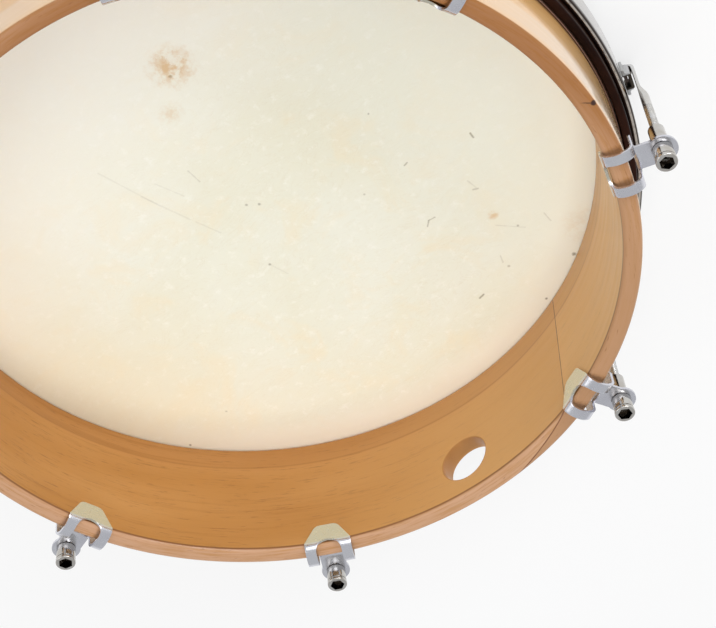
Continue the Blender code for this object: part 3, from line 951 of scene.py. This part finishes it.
def makeHook():
    plan = hookPlan
    low, top = (point.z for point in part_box("tension_hook_1"))
    strip = rodCentre - plan["stripOffset"]
    tip = bandHigh.x + plan["tipOffset"]
    turn = (strip - tip) / 2
    bottom = low + turn + plan["thick"] / 2
    path = [(tip, bottom + plan["tip"] * (1 - i / 4)) for i in range(4)]
    path += arcPoints((tip + turn, bottom), turn, 180, 360, 14)
    stripEnd = bottom + plan["strip"] - plan["taper"]
    path += [(strip, z) for z in spaced(bottom, stripEnd, 8)]
    plain = len(path)
    taperSteps = plan["taperSteps"]
    for i in range(1, taperSteps + 1):
        share = i / taperSteps
        path.append((strip + (rodCentre - strip) * smoothStep(share), stripEnd + plan["taper"] * share))
    path += [(rodCentre, z) for z in spaced(stripEnd + plan["taper"], top, plan["rodSteps"])]
    rows = len(path)

    # a grid is wrapped round the path, and its section goes from the strip's to the rod's
    form = bmesh.new()
    bmesh.ops.create_grid(form, x_segments=plan["around"], y_segments=rows - 1, size=0.5)
    for vert in form.verts:
        share = vert.co.x + 0.5
        index = gridRow(vert, rows - 1)
        before, after = path[max(0, index - 1)], path[min(rows - 1, index + 1)]
        run = Vector((after[0] - before[0], 0, after[1] - before[1])).normalized()
        side = Vector((run.z, 0, -run.x))
        change = smoothStep(min(1, max(0, (index - plain + 1) / taperSteps)))
        halfThick = plan["thick"] / 2 + (plan["rodRadius"] - plan["thick"] / 2) * change
        halfWide = plan["width"] / 2 + (plan["rodRadius"] - plan["width"] / 2) * change
        power = 2 / (plan["squareness"] + (2 - plan["squareness"]) * change)
        a = 2 * math.pi * share
        c, s = math.cos(a), math.sin(a)
        end = 1.0 if 0 < index < rows - 1 else plan["endShare"]
        across = halfThick * end * math.copysign(abs(c) ** power, c)
        wide = halfWide * end * math.copysign(abs(s) ** power, s)
        vert.co = Vector((path[index][0], 0, path[index][1])) + side * across + Vector((0, wide, 0))
    bmesh.ops.remove_doubles(form, verts=form.verts, dist=2 * sameSpot)
    bmesh.ops.holes_fill(form, edges=[edge for edge in form.edges if edge.is_boundary])
    bmesh.ops.recalc_face_normals(form, faces=form.faces)
    return addPiece("hookMaster", toMesh(form, "hookMaster", 40), rodMetal)


# claws: a stamped sheet bent over the rim, with an ear for the nut
clawPlan = {
    "plate": 0.0015,
    "width": 0.027,
    "tipWidth": 0.0126,
    "leg": 0.0132,
    "belowEar": 0.0021,
    "shoulder": 0.0005,
    "arch": 0.0057,
    "outerOffset": 0.0034,
    "window": 0.0148,
    "windowEnd": 0.0016,
    "windowRound": 0.0072,
    "cornerInner": 0.0022,
    "cornerOuter": 0.0012,
    "ear": 0.0144,
    "earFlare": 0.0010,
    "earBend": 0.0016,
    "earRoot": 0.0012,     # how far the ear's start reaches down the leg
    "earHole": 0.0048,
    "wallGap": 0.0003,
    "columns": 6,          # of faces on each side of the window
    "ease": 0.00035,
}


def makeClaw():
    plan = clawPlan
    plate = plan["plate"]
    wallInner = shellRadius - shellPlan["wall"]
    sag = wallInner - math.sqrt(wallInner**2 - (plan["width"] / 2) ** 2)
    inner = wallInner - plan["wallGap"] - plate / 2 - sag
    outer = shellRadius + plan["outerOffset"] + plate / 2
    middle, halfSpan = (inner + outer) / 2, (outer - inner) / 2
    shoulder = rimZ - plan["shoulder"]
    rise = plan["arch"] - plate / 2
    foot = rimZ - plan["leg"]
    rootZ = earTop - plate
    outerFoot = rootZ - plan["belowEar"]
    path = [(inner, z) for z in [foot] + spaced(foot, shoulder, 10)[:-1]]
    archStart = len(path)
    path += [(middle + halfSpan * x, shoulder + rise * y) for x, y in arcPoints((0, 0), 1, 180, 0, 28)]
    path += [(outer, z) for z in spaced(shoulder, outerFoot, 10)]
    lengths = pathLengths(path)
    total = lengths[-1]
    windowStart = lengths[archStart] - (plan["windowEnd"] - plan["shoulder"])
    windowStop = total - plan["belowEar"]

    def pointAt(distance):
        distance = min(max(distance, 0), total)
        for i in range(1, len(path)):
            if distance <= lengths[i] or i == len(path) - 1:
                share = (distance - lengths[i - 1]) / (lengths[i] - lengths[i - 1])
                return tuple(p + (q - p) * share for p, q in zip(path[i - 1], path[i]))

    # stations along the strip, closer where the window's round end starts
    corner = plan["cornerInner"]
    stations = [corner * (1 - math.cos(math.radians(15 * i))) for i in range(7)]
    stations += spaced(corner, windowStart, 8)
    stations += [windowStart + plan["windowRound"] * (i / 12) ** 1.8 for i in range(1, 13)]
    stations += spaced(stations[-1], windowStop, 26)
    stations += [windowStop + 0.00001, (windowStop + total - plan["cornerOuter"]) / 2]
    stations += [total - plan["cornerOuter"] * math.cos(math.radians(15 * i)) for i in range(1, 7)]

    def cornerInset(distance, radius):
        return radius - math.sqrt(max(0, radius**2 - max(0, radius - distance) ** 2))

    def halfWidths(distance):
        share = min(1.0, distance / lengths[archStart])
        wide = (plan["tipWidth"] + (plan["width"] - plan["tipWidth"]) * share) / 2
        wide -= cornerInset(distance, plan["cornerInner"])
        wide -= cornerInset(total - distance, plan["cornerOuter"])
        gap = 0.0
        if windowStart < distance <= windowStop:
            into = min(1, (distance - windowStart) / plan["windowRound"])
            gap = plan["window"] / 2 * math.sqrt(max(0, 1 - (1 - into) ** 2))
        return gap, wide

    form = bmesh.new()
    rows = len(stations) - 1
    bmesh.ops.create_grid(form, x_segments=plan["columns"], y_segments=rows, size=0.5)
    for vert in form.verts:
        index = gridRow(vert, rows)
        gap, wide = halfWidths(stations[index])
        rho, height = pointAt(stations[index])
        vert.co = Vector((rho, gap + (wide - gap) * (vert.co.x + 0.5), height))
    flipped = bmesh.ops.duplicate(form, geom=form.verts[:] + form.edges[:] + form.faces[:])
    for item in flipped["geom"]:
        if isinstance(item, bmesh.types.BMVert):
            item.co.y = -item.co.y
    keepSheet(form)
    sheet = addPiece("clawMaster", toMesh(form, "clawMaster"), zinc)
    thicken(sheet, plate)
    softenEdges(sheet, plan["ease"], 2, 50)

    # the ear starts in the outer leg and bends out level
    bend, earZ = plan["earBend"], earTop - plate / 2
    run = [(outer, rootZ - plan["earRoot"]), (outer, earZ - bend)]
    run += arcPoints((outer + bend, earZ - bend), bend, 180, 90, 6)[1:]
    halfEar = plan["ear"] / 2
    endRadius = halfEar + plan["earFlare"]
    neckEnd = rodCentre - math.sqrt(endRadius**2 - halfEar**2)
    run += [(rho, earZ) for rho in spaced(outer + bend, neckEnd, 4)]
    neckTurn = math.asin((rodCentre - neckEnd) / endRadius)
    run += [(rodCentre + endRadius * math.sin(turn), earZ) for turn in spaced(-neckTurn, math.pi / 2, 20)]
    form = bmesh.new()
    rows = len(run) - 1
    bmesh.ops.create_grid(form, x_segments=12, y_segments=rows, size=0.5)
    for vert in form.verts:
        index = gridRow(vert, rows)
        rho, height = run[index]
        wide = halfEar
        if rho > neckEnd:
            wide = math.sqrt(max(0.0, endRadius**2 - (rho - rodCentre) ** 2))
        vert.co = Vector((rho, wide * vert.co.x * 2, height))
    keepSheet(form)
    ear = addPiece("earMaster", toMesh(form, "earMaster"), zinc)
    thicken(ear, plate)
    drill = roundCutter(plan["earHole"], 0.01, 40)
    bmesh.ops.translate(drill, verts=drill.verts, vec=(rodCentre, 0, earZ))
    cutAway(ear, drill)
    softenEdges(ear, plan["ease"], 2, 50)

    joined = bmesh.new()
    joined.from_mesh(sheet.data)
    joined.from_mesh(ear.data)
    bpy.data.objects.remove(ear, do_unlink=True)
    sheet.data = toMesh(joined, "clawMaster", 40)
    return sheet


# nuts
nutPlan = {
    "head": 0.0055,
    "collar": 0.0057,
    "groove": 0.0050,
    "collarLength": 0.0022,
    "grooveLength": 0.0008,
    "sleeve": 0.0044,
    "bore": 0.0029,
    "flats": 0.0072,
    "socketDepth": 0.0055,
    "seatGap": 0.0003,
    "topRound": 0.0007,
    "ease": 0.0003,
    "sleeveRound": 0.0014,
    "steps": 56,
}


def makeNut():
    plan = nutPlan
    low, high = (point.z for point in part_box("tension_nut_1"))
    seat = earTop + plan["seatGap"]
    collar, groove, head, sleeve = plan["collar"], plan["groove"], plan["head"], plan["sleeve"]
    topRound, ease, sleeveRound = plan["topRound"], plan["ease"], plan["sleeveRound"]
    under = high - plan["collarLength"]
    neck = under - plan["grooveLength"]
    profile = arcPoints((collar - topRound, high - topRound), topRound, 90, 0, 4)
    profile += arcPoints((collar - ease, under + ease), ease, 0, -90, 2)
    profile += [(groove, under), (groove, neck)]
    profile += arcPoints((head - ease, neck - ease), ease, 90, 0, 2)
    profile += arcPoints((head - ease, seat + ease), ease, 0, -90, 2)
    profile += [(sleeve, seat), (sleeve, low + sleeveRound)]
    profile += arcPoints((sleeve - sleeveRound, low + sleeveRound), sleeveRound, 0, -75, 5)
    profile += [(plan["bore"], low), (plan["bore"], high)]
    nut = spunPiece("nutMaster", profile, plan["steps"], nickel)
    corner = plan["flats"] / 2 / math.cos(math.radians(30))
    key = roundCutter(corner, plan["socketDepth"] * 2, 6)
    bmesh.ops.translate(key, verts=key.verts, vec=(0, 0, high))
    cutAway(nut, key)
    tidyMesh(nut, 40)
    bottom = high - plan["socketDepth"]
    # the faces inside the hex socket get painted shade
    markPaintedShade(nut, lambda centre: math.hypot(centre.x, centre.y) < corner + 0.0001
               and bottom - 0.0001 < centre.z < high - 0.0002)
    nut.data.transform(Matrix.Translation((rodCentre, 0, 0)))
    return nut


makeShell()
makeHead()
makeHoops()
masters = {
    "staple": (makeStaple(), stapleMetal, "hoop", "hoop_loop", "hoop_chrome"),
    "hook": (makeHook(), rodMetal, "hoop", "tension_hook", "zinc_plate"),
    "claw": (makeClaw(), zinc, "shell_and_claws", "rim_claw", "zinc_plate"),
    "sleeveNut": (makeNut(), nickel, None, "tension_nut", "nut_nickel"),
}
for fitting in fittings:
    number = fitting["number"]
    for kind, (master, material, body, node, slot) in masters.items():
        placeRound(master, f"{kind}{number}", fitting["angle"], material, body or f"nut_{number}",
                   f"{node}_{number}")
for settings in masters.values():
    bpy.data.objects.remove(settings[0], do_unlink=True)
print("fittings placed:", len(fittings) * len(masters))


# floor, light and camera
studioPlan = {
    "floorColor": (0.88, 0.88, 0.88),
    "floorSize": 30.0,
    "floorZ": -0.0004,
    "floorGlow": 0.72,         # share of the floor that is plain white to the camera
    "white": (0.955, 0.955, 0.955),
    "sky": (0.96, 0.98, 1.0),
    "skyStrength": 0.34,
    "horizon": (0.02, 0.22),   # where the white backdrop ends and the dim ceiling starts
    "ceiling": 0.46,           # how much of the backdrop's white polished metal still sees overhead
    "aim": (0, 0, 0.05),       # where the lamps point
    "lamps": {                 # place, size, share of the plain level at the drum
        "softTop": ((-0.25, -0.3, 2.8), 1.5, 0.60),
        "softFront": ((1.05, 1.65, 1.9), 1.4, 0.16),
        "softLeft": ((-1.50, 1.20, 1.9), 1.4, 0.12),
        "softRight": ((2.0, 1.0, 0.8), 1.2, 0.45),
    },
    "cameraPlace": (0.38941, 0.54452, 0.93016),
    "cameraTurn": (-39.0458, -4.6269, -37.1130),
    "lens": 104.176,
}


def seenPlainly(tree, glossy=1.0):
    # 1 for rays from the camera or through glass, and a share of it for those that metal sends on
    path = tree.nodes.new("ShaderNodeLightPath").outputs
    seen = times(path["Is Glossy Ray"], glossy)
    seen = calc("MAXIMUM", seen, path["Is Transmission Ray"])
    return calc("MAXIMUM", seen, path["Is Camera Ray"])


def blendShaders(factor, first, second, output):
    blend = newNode("ShaderNodeMixShader", (factor,))
    fillSockets(blend.inputs, (factor, first.outputs[0], second.outputs[0]))
    setInputs(output, {"Surface": blend.outputs[0]})


def makeFloor():
    plan = studioPlan
    form = bmesh.new()
    bmesh.ops.create_grid(form, x_segments=1, y_segments=1, size=plan["floorSize"] / 2)
    bmesh.ops.translate(form, verts=form.verts, vec=(0, 0, plan["floorZ"]))
    material, tree, shader = newMaterial("pale floor")
    setInputs(shader, {"Base Color": plan["floorColor"], "Roughness": 0.9, "Specular IOR Level": 0.1})
    glow = tree.nodes.new("ShaderNodeEmission")
    setInputs(glow, {"Color": plan["white"]})
    share = times(seenPlainly(tree), plan["floorGlow"])
    blendShaders(share, shader, glow, tree.nodes["Material Output"])
    floor = addPiece("floor", toMesh(form, "floor"), material)


def makeWorld():
    plan = studioPlan
    world = bpy.data.worlds.new("studio")
    bpy.context.scene.world = world
    world.use_nodes = True
    tree = world.node_tree
    sky = tree.nodes["Background"]
    setInputs(sky, {"Color": plan["sky"], "Strength": plan["skyStrength"]})
    backdrop = tree.nodes.new("ShaderNodeBackground")
    setInputs(backdrop, {"Color": plan["white"]})
    way = splitVector(tree.nodes.new("ShaderNodeTexCoord").outputs["Generated"])
    overhead = fade(way[2], *plan["horizon"], 1.0, plan["ceiling"])
    blendShaders(seenPlainly(tree, overhead), sky, backdrop, tree.nodes["World Output"])


def makeLamps():
    for name, (spot, size, share) in studioPlan["lamps"].items():
        light = bpy.data.lights.new(name, "AREA")
        light.shape = "SQUARE"
        light.size = size
        aim = Vector(studioPlan["aim"]) - Vector(spot)
        light.energy = share * math.pi**2 * aim.length_squared
        lamp = bpy.data.objects.new(name, light)
        lamp.location = spot
        lamp.rotation_euler = aim.to_track_quat("-Z", "Y").to_euler()
        lamp.visible_glossy = name != "softTop"    # it is too bright a patch in the bent sheet
        bpy.context.scene.collection.objects.link(lamp)


def makeCamera():
    plan = studioPlan
    lens = bpy.data.cameras.new("camera")
    lens.lens = plan["lens"]
    lens.sensor_fit = "HORIZONTAL"
    lens.sensor_width = 36.0
    lens.clip_start = 0.01
    lens.clip_end = 100.0
    camera = bpy.data.objects.new("camera", lens)
    camera.location = plan["cameraPlace"]
    camera.rotation_euler = Euler([math.radians(a) for a in plan["cameraTurn"]], "XYZ")
    bpy.context.scene.collection.objects.link(camera)
    bpy.context.scene.camera = camera


makeFloor()
makeWorld()
makeLamps()
makeCamera()
bpy.context.scene.view_settings.view_transform = "Standard"
print("studio made")
